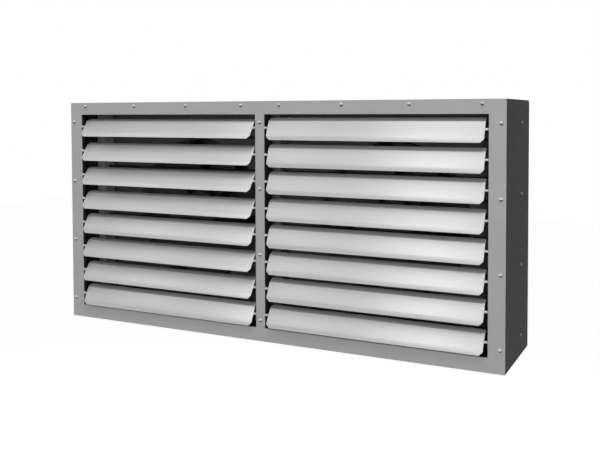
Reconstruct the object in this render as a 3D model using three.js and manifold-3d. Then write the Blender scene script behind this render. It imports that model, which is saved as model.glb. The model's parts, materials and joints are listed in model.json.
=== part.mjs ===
// Twin ceiling mounted fan heater with two banks of hand set louvres.
// Millimetres. X runs along the casing, -Y is the side the warm air leaves by, +Z is up.
// The origin is the middle of the top face, which hangs under the ceiling.

import * as THREE from 'three';
import { mergeVertices } from 'three/addons/utils/BufferGeometryUtils.js';
import Module from 'manifold-3d';

const wasm = await Module();
wasm.setup();

// ---------------------------------------------------------------- driving dimensions

const seatGap = 0.3;                // between two pieces that touch
const overrun = 1;                  // cutters past a face, and joined solids into each other

// Casing
const casingWidth = 1200;
const casingHeight = 587;
const casingDepth = 236;
const frameSheet = 1.5;             // front frame
const sideSheet = 1.5;              // side panels
const panelSheet = 1.2;             // top, rear and bottom panels
const rearCornerRadius = 10;        // outside bend between top and rear
const frontFlange = 20;             // edges turned in behind the front frame
const sideFlange = 12;              // bottom and rear edges of a side panel, turned in
const hangingFlange = 30;           // top edge of a side panel, which carries the load
const flangeCornerGap = 1;          // between two turned edges that meet at a corner

// Front frame
const stileWidth = 37.5;
const mullionWidth = 25;
const topRailHeight = 32;
const bottomRailHeight = 33;
const openingReturn = 12;           // depth of the edge turned in round each opening

// Louvre blades
const bladesPerBank = 8;
const bladeSheet = 1.2;
const bladeEndGap = 8.6;            // blade end to opening edge
const bladeFaceOffset = 1.6;        // flat face in front of the pivot axis
const upperFlatHeight = 15.4;
const curlAngle = 38;               // degrees that the top edge turns back
const curlBendRadius = 6;
const curlLength = 12.6;
const lowerFlatHeight = 19;
const lipAngle = 10.4;              // degrees that the bottom lip turns back
const lipLength = 12.2;
const bladeCornerRadius = 6;        // top corners
const bladeCornerChamfer = 8.5;     // bottom corners
const journalRadius = 1.5;
const journalEndPlay = 0.8;         // journal past the turned edge
const shoulderRadius = 2.7;
const pinRoot = 14;                 // pin let into the blade behind its face
const pinRootRadius = 2;
const leftBankLean = [33, 32, 35, 34, 28, 35, 33, 25];     // degrees, top blade first
const rightBankLean = [21, 19, 23, 26, 23, 26, 25, 29];

// Screws that hold the front frame
const screwHeadRadius = 4.2;
const screwHeadHeight = 2.6;
const screwCrownRadius = 2.6;       // domed top of the head
const screwCrownHeight = 0.5;
const screwRimHeight = 0.9;
const screwShankRadius = 2;
const screwLength = 9;
const screwHoleDepth = 20;
const screwRows = 4;
const screwRowInset = 52;           // first and last row from the top and bottom edges
const stileScrewInset = 11;         // screw line from the side edge

// Centre post behind the mullion
const postSheet = 1.5;
const postDepth = 40;
const postJournalGap = 0.6;         // post wall to the end of a blade's journal

// Heating elements and their rack
const elementCount = 6;
const elementRadius = 4.25;
const elementBendRadius = 18;       // half the distance between a hairpin's two legs
const elementTail = 12;             // leg past the right upright
const studRadius = 2;
const studLength = 12;
const rackSheet = 1.5;
const rackDepth = 40;
const rackSetback = 101;            // front frame's face to the rack
const leftRackWidth = 25;
const rightRackWidth = 60;          // room for the element terminals
const centreRackFlange = 16;

// Fan bulkhead
const bulkheadSheet = 1.5;
const bulkheadSetback = 155;
const bulkheadFlange = 20;
const orificeRadius = 196;
const collarLength = 60;
const collarSheet = 1.5;

// Fans
const fanBlades = 7;
const tipGap = 6;
const hubRadius = 52;
const hubLength = 46;
const hubWall = 2.5;
const hubNoseRadius = 6;
const hubBossRadius = 12;
const hubBossLength = 14;
const hubSetback = 3;               // hub nose behind the bulkhead's front face
const fanBladeStart = 4;            // front of the blades behind the hub nose
const fanBladeSheet = 2;
const fanBladeRootWidth = 44;       // degrees round the hub
const fanBladeTipWidth = 46;
const fanBladeRootDepth = 38;       // along the axis
const fanBladeTipDepth = 30;
const fanBladeSweep = 22;           // degrees that the tip leads the root
const fanBladeCamber = 4;
const shaftRadius = 5;
const statorRadius = 47;
const statorLength = 26;
const motorFlangeRadius = 44;

// Fan guards, on the rear edge of each collar
const guardRings = 4;
const guardSpokes = 4;
const guardWire = 4;
const guardPlateRadius = 50;
const guardOverhang = 1;            // outer ring past the outside of the collar

// Pressed inlet louvres in the rear panel
const inletRows = 8;
const inletColumns = 2;             // behind each fan
const inletLength = 118;
const inletHeight = 9;
const inletPitchX = 136;
const inletPitchZ = 46;
const inletReach = 8;               // hood behind the rear face
const inletShoulderDepth = 4;       // where the hood's sloping top turns down
const inletSkirt = 4;               // hood below its slot

// Terminal box, gland and cut-out
const boxWidth = 120;
const boxHeight = 140;
const boxDepth = 60;
const boxWall = 2;
const boxDrop = 60;                 // top face of the casing to the box
const glandDrop = 109;              // top face of the casing to the gland's axis
const lidLip = 5;
const blockWidth = 84;
const blockHeight = 26;
const blockDepth = 20;
const blockPoles = 5;
const poleRadius = 3;
const poleDepth = 8;
const glandBoreRadius = 7;
const glandThreadRadius = 12;
const glandThreadLength = 14;
const glandCollarRadius = 16;
const glandCollarLength = 8;
const glandNutRadius = 14;
const glandNutLength = 12;
const glandMouthRadius = 10;
const locknutFlats = 32;
const locknutHeight = 5;
const cutoutRadius = 9;
const cutoutLength = 9;
const cutoutPlateWidth = 34;
const cutoutPlateHeight = 14;
const cutoutPlateSheet = 1.5;
const cutoutDrop = 48;

// Suspension points
const nutFlats = 13;
const nutHeight = 6.5;
const nutBoreRadius = 3.6;
const boltHoleRadius = 4.5;
const suspensionInset = 48;         // bolt from the front and rear faces
const suspensionSideInset = 15;     // bolt from the inside of a side panel

// Facets of round shapes
const hexSides = 6;
const pinFacets = 6;
const smallFacets = 8;
const headFacets = 10;
const boreFacets = 16;
const hubFacets = 20;
const ringFacets = 24;
const bendSteps = 8;
const foldSteps = 5;
const cornerSteps = 2;
const fanBladeStations = 4;
const fanChordPoints = 3;

// ---------------------------------------------------------------- derived places

const front = -casingDepth / 2;
const rear = casingDepth / 2;
const top = 0;
const bottom = -casingHeight;
const innerSide = casingWidth / 2 - sideSheet;
const flangeFront = front + frameSheet + seatGap;
const rearInner = rear - panelSheet;
const topInner = top - panelSheet;
const bottomInner = bottom + panelSheet;
const liningTop = topInner - seatGap - sideSheet - seatGap;
const liningBottom = bottomInner + seatGap + sideSheet + seatGap;

const openingWidth = (casingWidth - 2 * stileWidth - mullionWidth) / 2;
const openingTop = top - topRailHeight;
const openingBottom = bottom + bottomRailHeight;
const openingHeight = openingTop - openingBottom;
const bankCentre = (mullionWidth + openingWidth) / 2;
const openingMiddle = (openingTop + openingBottom) / 2;

const journalHoleRadius = journalRadius + seatGap;
const pivotDepth = front + frameSheet + journalHoleRadius;
const bladePitch = openingHeight / bladesPerBank;
const bladeLength = openingWidth - 2 * bladeEndGap;

const bulkheadFront = front + bulkheadSetback;
const hubFront = bulkheadFront + hubSetback;
const collarRear = bulkheadFront + collarLength;
const guardFront = collarRear + seatGap;
const guardRear = guardFront + guardWire;
const rackFront = front + rackSetback;
const elementDepth = rackFront + rackDepth / 2;
const leftRackFace = -innerSide + seatGap + leftRackWidth;
const rightRackFace = innerSide - seatGap - rightRackWidth;
const boxTop = top - boxDrop;
const boxBottom = boxTop - boxHeight;
const boxRear = rearInner - seatGap;
const boxFront = boxRear - boxDepth;

const banks = [
  { name: 'left', centre: -bankCentre, lean: leftBankLean },
  { name: 'right', centre: bankCentre, lean: rightBankLean },
];

// ---------------------------------------------------------------- materials

const finish = (color, roughness, metalness) =>
  new THREE.MeshStandardMaterial({ color, roughness, metalness });

const greyPaint = finish(0xafafaf, 0.5, 0.1);
const darkPaint = finish(0x343434, 0.6, 0.1);
const bladeFinish = finish(0xbfbfbf, 0.4, 0.3);
const zincSteel = finish(0xb4b4b2, 0.5, 0.3);
const elementSheath = finish(0x2b2927, 0.6, 0.6);
const fanSteel = finish(0x1f1f20, 0.5, 0.4);
const motorCast = finish(0x8d8f91, 0.5, 0.8);
const blackPlastic = finish(0x1b1b1c, 0.5, 0);
const paleCeramic = finish(0xe6e0d2, 0.6, 0);
const screwSteel = finish(0xadadab, 0.35, 0.7);

// ---------------------------------------------------------------- solids

const radians = THREE.MathUtils.degToRad;

/** A closed geometry as a solid that can be joined and cut. */
function solid(geometry) {
  const bare = geometry.clone();
  bare.deleteAttribute('normal');
  bare.deleteAttribute('uv');
  const merged = mergeVertices(bare, 1e-5);
  return new wasm.Manifold(new wasm.Mesh({
    numProp: 3,
    vertProperties: Float32Array.from(merged.attributes.position.array),
    triVerts: Uint32Array.from(merged.index.array),
  }));
}

/** A solid's triangles as a geometry. */
function geometryOf(body) {
  const mesh = body.getMesh();
  const geometry = new THREE.BufferGeometry();
  geometry.setAttribute('position', new THREE.BufferAttribute(mesh.vertProperties, 3));
  geometry.setIndex(new THREE.BufferAttribute(mesh.triVerts, 1));
  geometry.computeVertexNormals();
  return geometry;
}

function joined(bodies) {
  return bodies.reduce((whole, body) => whole.add(body));
}

function cut(body, tools) {
  return tools.reduce((rest, tool) => rest.subtract(tool), body);
}

/** A block between two corners. */
function block(x0, x1, y0, y1, z0, z1) {
  const geometry = new THREE.BoxGeometry(x1 - x0, y1 - y0, z1 - z0);
  geometry.translate((x0 + x1) / 2, (y0 + y1) / 2, (z0 + z1) / 2);
  return solid(geometry);
}

/** An outline of [y, z] points run along X. */
function alongX(outline, x0, x1) {
  const shape = new THREE.Shape(outline.map(([y, z]) => new THREE.Vector2(y, z)));
  const geometry = new THREE.ExtrudeGeometry(shape, { depth: x1 - x0, bevelEnabled: false });
  const turn = new THREE.Matrix4().set(0, 0, 1, x0, 1, 0, 0, 0, 0, 1, 0, 0, 0, 0, 0, 1);
  return solid(geometry.applyMatrix4(turn));
}

/** An outline of [x, z] points run along Y, with holes right through it. */
function alongY(outline, y0, y1, holes = []) {
  const shape = new THREE.Shape(outline.map(([x, z]) => new THREE.Vector2(x, z)));
  const geometry = new THREE.ExtrudeGeometry(shape, { depth: y1 - y0, bevelEnabled: false });
  const turn = new THREE.Matrix4().set(1, 0, 0, 0, 0, 0, -1, y1, 0, 1, 0, 0, 0, 0, 0, 1);
  const body = solid(geometry.applyMatrix4(turn));
  return cut(body, holes.map((hole) => alongY(hole, y0 - overrun, y1 + overrun)));
}

/** An outline of [x, y] points run along Z, with holes right through it. */
function alongZ(outline, z0, z1, holes = []) {
  const shape = new THREE.Shape(outline.map(([x, y]) => new THREE.Vector2(x, y)));
  const geometry = new THREE.ExtrudeGeometry(shape, { depth: z1 - z0, bevelEnabled: false });
  const body = solid(geometry.translate(0, 0, z0));
  return cut(body, holes.map((hole) => alongZ(hole, z0 - overrun, z1 + overrun)));
}

function rectangle(x0, x1, z0, z1) {
  return [[x0, z0], [x1, z0], [x1, z1], [x0, z1]];
}

/** A regular polygon whose flats lie at the given radius. */
function polygon(x, z, flatRadius, sides) {
  const radius = flatRadius / Math.cos(Math.PI / sides);
  return Array.from({ length: sides }, (_, i) => {
    const angle = (2 * Math.PI * (i + 0.5)) / sides;
    return [x + radius * Math.cos(angle), z + radius * Math.sin(angle)];
  });
}

/** Points of an arc, both ends included. */
function arc(y, z, radius, fromAngle, toAngle, steps) {
  return Array.from({ length: steps + 1 }, (_, i) => {
    const angle = radians(fromAngle + ((toAngle - fromAngle) * i) / steps);
    return [y + radius * Math.cos(angle), z + radius * Math.sin(angle)];
  });
}

/** Offsets of a number of places about their middle. */
function spread(count, pitch) {
  return Array.from({ length: count }, (_, i) => (i - (count - 1) / 2) * pitch);
}

/** The span between two distances from the middle plane, on the side at sign. */
function sideSpan(sign, from, to) {
  return [Math.min(sign * from, sign * to), Math.max(sign * from, sign * to)];
}

const rodX = (radius, y, z, x0, x1) => alongX(polygon(y, z, radius, smallFacets), x0, x1);
const rodY = (radius, x, z, y0, y1) => alongY(polygon(x, z, radius, smallFacets), y0, y1);
const rodZ = (radius, x, y, z0, z1) => alongZ(polygon(x, y, radius, smallFacets), z0, z1);
const pinX = (radius, y, z, x0, x1) => alongX(polygon(y, z, radius, pinFacets), x0, x1);

/** A profile of [radius, y] points, closed on itself or on the axis, spun about Y at (x, z). */
function spun(profile, x, z, facets) {
  const points = profile.map(([radius, y]) => new THREE.Vector2(radius, y));
  const geometry = new THREE.LatheGeometry(points, facets);
  return solid(geometry.translate(x, 0, z));
}

function ring(innerRadius, outerRadius, y0, y1) {
  return [
    [innerRadius, y0], [outerRadius, y0], [outerRadius, y1], [innerRadius, y1], [innerRadius, y0],
  ];
}

const heater = new THREE.Group();

function piece(name, body, material, parent = heater) {
  const mesh = new THREE.Mesh(geometryOf(body), material);
  mesh.name = name;
  parent.add(mesh);
  return mesh;
}

// ---------------------------------------------------------------- casing

const screwRowHeights = Array.from({ length: screwRows }, (_, row) => {
  const span = casingHeight - 2 * screwRowInset;
  return top - screwRowInset - (span * row) / (screwRows - 1);
});
const stileScrewLine = casingWidth / 2 - stileScrewInset;
const screwLines = [
  { name: 'left', x: -stileScrewLine },
  { name: 'centre', x: 0 },
  { name: 'right', x: stileScrewLine },
];
const screwHoleRadius = screwShankRadius + seatGap;

function screwHoles() {
  return screwLines.flatMap(({ x }) => screwRowHeights.map((z) =>
    rodY(screwHoleRadius, x, z, front - overrun, front + screwHoleDepth)));
}

const bladeHeights = Array.from({ length: bladesPerBank }, (_, row) =>
  openingTop - bladePitch * (row + 0.5));

function openingOf(bank, grow = 0) {
  const half = openingWidth / 2 + grow;
  return rectangle(bank.centre - half, bank.centre + half, openingBottom - grow, openingTop + grow);
}

function frontFrame() {
  const outline = rectangle(-casingWidth / 2, casingWidth / 2, bottom, top);
  const sheet = alongY(outline, front, front + frameSheet, banks.map((bank) => openingOf(bank)));
  const returns = banks.map((bank) =>
    alongY(openingOf(bank, frameSheet), front, front + openingReturn, [openingOf(bank)]));
  const reach = openingWidth / 2 + frameSheet + overrun;
  const pivotHoles = banks.flatMap((bank) => bladeHeights.map((z) =>
    pinX(journalHoleRadius, pivotDepth, z, bank.centre - reach, bank.centre + reach)));
  return cut(joined([sheet, ...returns]), [...pivotHoles, ...screwHoles()]);
}

const suspensionPoints = [-1, 1].flatMap((sideSign) => [front, rear].map((face) => ({
  x: sideSign * (innerSide - suspensionSideInset),
  y: face - Math.sign(face) * suspensionInset,
})));

function boltHoles() {
  return suspensionPoints.map(({ x, y }) =>
    rodZ(boltHoleRadius, x, y, liningTop - overrun, top + overrun));
}

const glandHoleOutline = polygon(0, top - glandDrop, glandThreadRadius + seatGap, boreFacets);

/** Hollow or outer shape of the hood over the rear slot at (x, z), open at the bottom. */
function inletHood(x, z, inset, foot) {
  const half = inletLength / 2 - inset;
  const face = rear - panelSheet / 2;
  const hoodRear = rear + inletReach - inset;
  const hoodTop = z + inletHeight + panelSheet - inset;
  return alongX([
    [face, foot], [hoodRear, foot], [hoodRear, z], [rear + inletShoulderDepth, hoodTop - overrun],
    [face, hoodTop],
  ], x - half, x + half);
}

/** A slot pressed out of the rear panel at (x, z). */
function pressInlet(sheet, [x, z]) {
  const half = inletLength / 2 - panelSheet;
  const shell = inletHood(x, z, 0, z - inletSkirt);
  const hollow = inletHood(x, z, panelSheet, z - inletSkirt - overrun);
  const slot = block(x - half, x + half, rearInner - overrun, rear, z, z + inletHeight);
  return sheet.add(shell.subtract(hollow)).subtract(slot);
}

const inletPlaces = banks.flatMap((bank) => spread(inletColumns, inletPitchX).flatMap(
  (column) => spread(inletRows, inletPitchZ).map(
    (row) => [bank.centre + column, openingMiddle + row])));

/** Top and rear in one folded sheet, with a turned-down front edge. */
function topRearPanel() {
  const r = rearCornerRadius;
  const outside = arc(rear - r, top - r, r, 90, 0, foldSteps);
  const inside = arc(rear - r, top - r, r - panelSheet, 0, 90, foldSteps);
  const outline = [
    [flangeFront, top], ...outside, [rear, bottom], [rearInner, bottom], ...inside,
    [flangeFront + panelSheet, topInner], [flangeFront + panelSheet, top - frontFlange],
    [flangeFront, top - frontFlange],
  ].reverse();
  const sheet = alongX(outline, -innerSide + seatGap, innerSide - seatGap);
  const glandHole = alongY(glandHoleOutline, rearInner - overrun, rear + overrun);
  return cut(inletPlaces.reduce(pressInlet, sheet), [glandHole, ...boltHoles()]);
}

/** Bottom sheet with its front and rear edges turned up inside the casing. */
function bottomPanel() {
  const half = innerSide - seatGap;
  const sheetRear = rearInner - seatGap;
  return joined([
    block(-half, half, flangeFront, sheetRear, bottom, bottomInner),
    block(-half, half, flangeFront, flangeFront + panelSheet, bottom, bottom + frontFlange),
    block(-half, half, sheetRear - panelSheet, sheetRear, bottom, bottom + sideFlange),
  ]);
}

/** Side panel for the side at sign * X, with its four edges turned in. */
function sidePanel(sign) {
  const r = rearCornerRadius;
  const outline = [
    [flangeFront, bottom], [rear, bottom], ...arc(rear - r, top - r, r, 0, 90, foldSteps),
    [flangeFront, top],
  ];
  const edge = (width) => sideSpan(sign, innerSide - width, innerSide + sideSheet / 2);
  const backEdge = rearInner - seatGap - panelSheet - seatGap;
  const frontEdge = flangeFront + panelSheet + flangeCornerGap;
  const topEdge = topInner - seatGap;
  const bottomEdge = bottomInner + seatGap;
  const clearOfFolds = frontFlange + panelSheet + flangeCornerGap;
  const bendClear = rear - r - flangeCornerGap;
  const body = joined([
    alongX(outline, ...sideSpan(sign, innerSide, casingWidth / 2)),
    block(...edge(frontFlange), flangeFront, flangeFront + sideSheet,
      bottom + clearOfFolds, top - clearOfFolds),
    block(...edge(hangingFlange), frontEdge, bendClear, topEdge - sideSheet, topEdge),
    block(...edge(sideFlange), frontEdge, backEdge, bottomEdge, bottomEdge + sideSheet),
    block(...edge(sideFlange), backEdge - sideSheet, backEdge, bottomEdge, top - clearOfFolds),
  ]);
  return cut(body, [...boltHoles(), ...screwHoles()]);
}

/** Channel behind the mullion, open to the rear. */
function centrePost() {
  const half = mullionWidth / 2 - frameSheet - journalEndPlay - postJournalGap;
  const postRear = flangeFront + postDepth;
  const postTop = top - frontFlange - flangeCornerGap;
  const postBottom = bottom + frontFlange + flangeCornerGap;
  const wall = (x) => block(x, x + postSheet, flangeFront, postRear, postBottom, postTop);
  const web = block(-half, half, flangeFront, flangeFront + postSheet, postBottom, postTop);
  return cut(joined([web, wall(-half), wall(half - postSheet)]), screwHoles());
}

function frameScrew(x, z) {
  const seat = front - seatGap;
  return spun([
    [0, seat - screwHeadHeight],
    [screwCrownRadius, seat - screwHeadHeight + screwCrownHeight],
    [screwHeadRadius, seat - screwRimHeight],
    [screwHeadRadius, seat],
    [screwShankRadius, seat],
    [screwShankRadius, seat + screwLength - screwShankRadius],
    [0, seat + screwLength],
  ], x, z, headFacets);
}

piece('front_frame', frontFrame(), greyPaint);
piece('top_rear_panel', topRearPanel(), darkPaint);
piece('bottom_panel', bottomPanel(), darkPaint);
piece('side_panel_left', sidePanel(-1), darkPaint);
piece('side_panel_right', sidePanel(1), darkPaint);
piece('centre_post', centrePost(), darkPaint);

for (const line of screwLines) {
  screwRowHeights.forEach((z, row) => {
    piece(`frame_screw_${line.name}_${row + 1}`, frameScrew(line.x, z), screwSteel);
  });
}

// ---------------------------------------------------------------- louvre blades

/** Section of a blade about its pivot axis: Y to the rear, Z up the blade. */
function bladeSection() {
  const curl = radians(curlAngle);
  const lip = radians(lipAngle);
  const bendCentre = -bladeFaceOffset + curlBendRadius;
  const strip = (side) => {
    const shift = (side * bladeSheet) / 2;
    const bend = arc(bendCentre, upperFlatHeight, curlBendRadius - shift, 180, 180 - curlAngle,
      cornerSteps);
    const [bendY, bendZ] = bend[bend.length - 1];
    const lipY = -bladeFaceOffset + shift;
    const lipZ = -lowerFlatHeight + shift * Math.tan(lip / 2);
    return [
      [lipY + lipLength * Math.sin(lip), lipZ - lipLength * Math.cos(lip)],
      [lipY, lipZ],
      ...bend,
      [bendY + curlLength * Math.sin(curl), bendZ + curlLength * Math.cos(curl)],
    ];
  };
  return [...strip(1), ...strip(-1).reverse()];
}

/** Front view of a blade: chamfered bottom corners and rounded top corners. */
function bladeOutline() {
  const half = bladeLength / 2;
  const lowest = -lowerFlatHeight - lipLength * Math.cos(radians(lipAngle));
  const highest = upperFlatHeight + curlBendRadius * Math.sin(radians(curlAngle))
    + curlLength * Math.cos(radians(curlAngle));
  const r = bladeCornerRadius;
  const foot = half - bladeCornerChamfer - overrun;
  return [
    [-foot, lowest - overrun],
    [foot, lowest - overrun],
    [half, lowest + bladeCornerChamfer],
    ...arc(half - r, highest - r, r, 0, 90, cornerSteps),
    [half - r, highest + overrun],
    [-half + r, highest + overrun],
    ...arc(-half + r, highest - r, r, 90, 180, cornerSteps),
    [-half, lowest + bladeCornerChamfer],
  ];
}

function louvreBlade() {
  const half = bladeLength / 2;
  const reach = 2 * (curlLength + curlBendRadius);
  const strip = alongX(bladeSection(), -half, half);
  const shaped = strip.intersect(alongY(bladeOutline(), -reach, reach));
  const shoulder = openingWidth / 2 - seatGap;
  const tip = openingWidth / 2 + frameSheet + journalEndPlay;
  const pin = (sign) => joined([
    pinX(pinRootRadius, 0, 0, ...sideSpan(sign, half - pinRoot, half)),
    pinX(shoulderRadius, 0, 0, ...sideSpan(sign, half - overrun, shoulder)),
    pinX(journalRadius, 0, 0, ...sideSpan(sign, shoulder - overrun, tip)),
  ]);
  return joined([shaped, pin(-1), pin(1)]);
}

for (const bank of banks) {
  bladeHeights.forEach((z, row) => {
    const blade = piece(`louvre_${bank.name}_${row + 1}`, louvreBlade(), bladeFinish);
    blade.position.set(bank.centre, pivotDepth, z);
    blade.rotation.x = -radians(bank.lean[row]);
  });
}

// ---------------------------------------------------------------- heating elements

const elementRows = Array.from({ length: elementCount }, (_, row) =>
  openingTop - (openingHeight * (row + 0.5)) / elementCount);

/** Hairpin path whose steps fall on its two straight legs' ends and round its bend. */
class HairpinCurve extends THREE.Curve {
  constructor(legStart, bendStart, row, steps) {
    super();
    this.legStart = legStart;
    this.bendStart = bendStart;
    this.row = row;
    this.steps = steps;
  }

  getPoint(t, target = new THREE.Vector3()) {
    const along = t * (this.steps + 2);
    const turn = THREE.MathUtils.clamp((along - 1) / this.steps, 0, 1) * Math.PI;
    const straight = Math.max(1 - along, along - this.steps - 1, 0);
    const x = this.bendStart + (this.legStart - this.bendStart) * straight
      - elementBendRadius * Math.sin(turn);
    return target.set(x, elementDepth, this.row + elementBendRadius * Math.cos(turn));
  }

  getPointAt(u, target) {
    return this.getPoint(u, target);
  }

  getTangentAt(u, target = new THREE.Vector3()) {
    const along = u * (this.steps + 2);
    const turn = THREE.MathUtils.clamp((along - 1) / this.steps, 0, 1) * Math.PI;
    return target.set(-Math.cos(turn), 0, -Math.sin(turn));
  }
}

function heatingElement(row) {
  const legEnd = rightRackFace + rackSheet + elementTail;
  const bendStart = leftRackFace - rackSheet - seatGap;
  const section = new THREE.Shape(
    polygon(0, 0, elementRadius, smallFacets).map(([x, y]) => new THREE.Vector2(x, y)));
  const path = new HairpinCurve(legEnd, bendStart, row, bendSteps);
  const tube = new THREE.ExtrudeGeometry(section, { steps: bendSteps + 2, extrudePath: path });
  const studs = [-1, 1].map((side) => rodX(
    studRadius, elementDepth, row + side * elementBendRadius,
    legEnd - overrun, legEnd + studLength));
  return joined([solid(tube), ...studs]);
}

function elementHoles(x0, x1) {
  return elementRows.flatMap((row) => [-1, 1].map((side) => rodX(
    elementRadius + seatGap, elementDepth, row + side * elementBendRadius, x0, x1)));
}

/** Upright channel that is open towards the side panel at sign * X. */
function sideRack(sign, width) {
  const wall = innerSide - seatGap;
  const rackRear = rackFront + rackDepth;
  const flange = sideSpan(sign, wall - width, wall);
  const web = sideSpan(sign, wall - width, wall - width + rackSheet);
  return cut(joined([
    block(...flange, rackFront, rackFront + rackSheet, liningBottom, liningTop),
    block(...web, rackFront, rackRear, liningBottom, liningTop),
    block(...flange, rackRear - rackSheet, rackRear, liningBottom, liningTop),
  ]), elementHoles(web[0] - overrun, web[1] + overrun));
}

/** Angle that holds the hairpins half way along. */
function centreRack() {
  const half = rackSheet / 2;
  const foot = bottomInner + seatGap;
  const head = topInner - seatGap;
  return cut(joined([
    block(-half, half, rackFront, rackFront + rackDepth, foot, head),
    block(-centreRackFlange, half, rackFront, rackFront + rackSheet, foot, head),
  ]), elementHoles(-half - overrun, half + overrun));
}

piece('element_rack_left', sideRack(-1, leftRackWidth), zincSteel);
piece('element_rack_centre', centreRack(), darkPaint);
piece('element_rack_right', sideRack(1, rightRackWidth), zincSteel);
elementRows.forEach((row, i) => {
  piece(`heating_element_${i + 1}`, heatingElement(row), elementSheath);
});

// ---------------------------------------------------------------- fan bulkhead and fans

function fanBulkhead() {
  const half = innerSide - seatGap;
  const plateRear = bulkheadFront + bulkheadSheet;
  const flangeRear = bulkheadFront + bulkheadFlange;
  const orifices = banks.map((bank) =>
    polygon(bank.centre, openingMiddle, orificeRadius, ringFacets));
  const collars = banks.map((bank) => alongY(
    polygon(bank.centre, openingMiddle, orificeRadius + collarSheet, ringFacets),
    bulkheadFront, bulkheadFront + collarLength,
    [polygon(bank.centre, openingMiddle, orificeRadius, ringFacets)]));
  const outline = rectangle(-half, half, liningBottom, liningTop);
  return joined([
    alongY(outline, bulkheadFront, plateRear, orifices),
    ...collars,
    block(-half, -half + bulkheadSheet, bulkheadFront, flangeRear, liningBottom, liningTop),
    block(half - bulkheadSheet, half, bulkheadFront, flangeRear, liningBottom, liningTop),
  ]);
}

/** One cambered fan blade, lofted outwards from inside the hub wall. */
function fanBlade() {
  const tipRadius = orificeRadius - tipGap;
  const positions = [];
  const point = (t, c, face) => {
    const radius = THREE.MathUtils.lerp(hubRadius - hubWall / 2, tipRadius, t);
    const width = radians(THREE.MathUtils.lerp(fanBladeRootWidth, fanBladeTipWidth, t));
    const depth = THREE.MathUtils.lerp(fanBladeRootDepth, fanBladeTipDepth, t);
    const angle = radians(fanBladeSweep) * t + (c - 0.5) * width;
    const y = hubFront + fanBladeStart + fanBladeRootDepth / 2 + (c - 0.5) * depth
      + fanBladeCamber * (1 - (2 * c - 1) ** 2) + (face * fanBladeSheet) / 2;
    return [radius * Math.cos(angle), y, radius * Math.sin(angle)];
  };
  const chord = Array.from({ length: fanChordPoints }, (_, i) => i / (fanChordPoints - 1));
  for (let s = 0; s < fanBladeStations; s += 1) {
    const t = s / (fanBladeStations - 1);
    positions.push(...chord.map((c) => point(t, c, -1)));
    positions.push(...chord.map((c) => point(t, c, 1)).reverse());
  }
  const loop = 2 * fanChordPoints;
  const last = (fanBladeStations - 1) * loop;
  const index = [];
  for (let start = 0; start < last; start += loop) {
    for (let i = 0; i < loop; i += 1) {
      const a = start + i;
      const b = start + ((i + 1) % loop);
      const diagonal = i < fanChordPoints ? [b, a + loop] : [a, b + loop];
      index.push(b, a, diagonal[1], diagonal[0], a + loop, b + loop);
    }
  }
  for (let i = 0; i < fanChordPoints - 1; i += 1) {
    const j = loop - 1 - i;
    index.push(i, j - 1, j, i, i + 1, j - 1);
    index.push(last + i, last + j, last + j - 1, last + i, last + j - 1, last + i + 1);
  }
  const geometry = new THREE.BufferGeometry();
  geometry.setAttribute('position', new THREE.Float32BufferAttribute(positions.flat(), 3));
  geometry.setIndex(index);
  return geometry;
}

/** Hub cup that is open to the rear, with the blades round it, about the Y axis. */
function impeller() {
  const nose = hubFront;
  const tail = hubFront + hubLength;
  const bore = shaftRadius + seatGap;
  const hub = spun([
    [bore, nose],
    [hubRadius - hubNoseRadius, nose],
    [hubRadius, nose + hubNoseRadius],
    [hubRadius, tail],
    [hubRadius - hubWall, tail],
    [hubRadius - hubWall, nose + hubNoseRadius],
    [hubRadius - hubNoseRadius, nose + hubWall],
    [hubBossRadius, nose + hubWall],
    [hubBossRadius, nose + hubBossLength],
    [bore, nose + hubBossLength],
    [bore, nose],
  ], 0, 0, hubFacets);
  const blades = Array.from({ length: fanBlades }, (_, i) => {
    const blade = fanBlade();
    return solid(blade.rotateY((2 * Math.PI * i) / fanBlades));
  });
  return joined([hub, ...blades]);
}

/** Stator, foot and shaft, about the Y axis. */
function fanMotor() {
  const seat = guardFront - seatGap;
  const statorRear = hubFront + hubLength - seatGap;
  return spun([
    [0, hubFront + hubWall / 2],
    [shaftRadius, hubFront + hubWall / 2],
    [shaftRadius, statorRear - statorLength],
    [statorRadius, statorRear - statorLength],
    [statorRadius, statorRear],
    [motorFlangeRadius, statorRear],
    [motorFlangeRadius, seat],
    [0, seat],
  ], 0, 0, hubFacets);
}

/** Wire guard with a middle plate that carries the motor, about the Y axis. */
function fanGuard() {
  const outerRadius = orificeRadius + collarSheet + guardOverhang;
  const rings = Array.from({ length: guardRings }, (_, i) => {
    const radius = THREE.MathUtils.lerp(guardPlateRadius, outerRadius, (i + 1) / guardRings);
    return spun(ring(radius - guardWire, radius, guardFront, guardRear), 0, 0, ringFacets);
  });
  const plate = spun([
    [0, guardFront], [guardPlateRadius, guardFront], [guardPlateRadius, guardRear], [0, guardRear],
  ], 0, 0, hubFacets);
  const spokeLength = outerRadius - guardWire / 2;
  const spokes = Array.from({ length: guardSpokes }, (_, i) => {
    const spoke = new THREE.BoxGeometry(spokeLength, guardWire / 2, guardWire);
    spoke.translate(spokeLength / 2, (guardFront + guardRear) / 2, 0);
    return solid(spoke.rotateY((2 * Math.PI * i) / guardSpokes));
  });
  return joined([plate, ...rings, ...spokes]);
}

piece('fan_bulkhead', fanBulkhead(), darkPaint);
for (const bank of banks) {
  const fan = new THREE.Group();
  fan.position.set(bank.centre, 0, openingMiddle);
  heater.add(fan);
  piece(`fan_impeller_${bank.name}`, impeller(), fanSteel, fan);
  piece(`fan_motor_${bank.name}`, fanMotor(), motorCast, fan);
  piece(`fan_guard_${bank.name}`, fanGuard(), fanSteel, fan);
}

// ---------------------------------------------------------------- electrical pieces

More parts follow.
